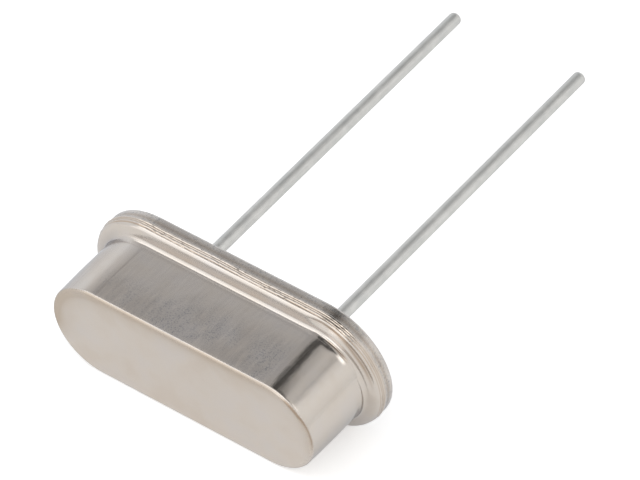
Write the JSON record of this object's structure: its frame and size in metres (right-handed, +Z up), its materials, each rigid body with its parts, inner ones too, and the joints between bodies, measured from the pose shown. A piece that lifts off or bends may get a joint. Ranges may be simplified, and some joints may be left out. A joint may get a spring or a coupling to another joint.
{
  "type": "quartz crystal",
  "caption": "Low-profile two-lead quartz crystal in an obround welded metal can, lying on its long side with its wire leads behind it.",
  "frame": {"origin": "centre of the bounding box's base, on the surface that the crystal lies on", "axes": "+X along the can's long sides, +Y from the can's closed end to the lead tips, +Z up; the leads rise towards their tips because the case lies on its flange and on the edge of its closed end"},
  "size_m": [0.011, 0.0174, 0.0051],
  "materials": {
    "cover": "nickel silver, softly polished, with fine drawing scratches",
    "base": "nickel-plated steel, satin, with a darker sheared edge",
    "seal_glass": "dark green-grey sealing glass",
    "lead_tin": "matt tinned wire with fine drawing lines",
    "clip": "bright nickel-silver strip",
    "quartz": "lapped quartz",
    "silver_film": "vapour-deposited silver",
    "adhesive": "silver-filled epoxy"
  },
  "bodies": {
    "root": {"cover": "cover", "base": "base", "glass_seal_left": "seal_glass", "glass_seal_right": "seal_glass", "lead_left": "lead_tin", "lead_right": "lead_tin", "spring_clip_left": "clip", "spring_clip_right": "clip", "quartz_blank": "quartz", "electrode_upper": "silver_film", "electrode_lower": "silver_film", "adhesive_left": "adhesive", "adhesive_right": "adhesive"}
  },
  "joints": []
}
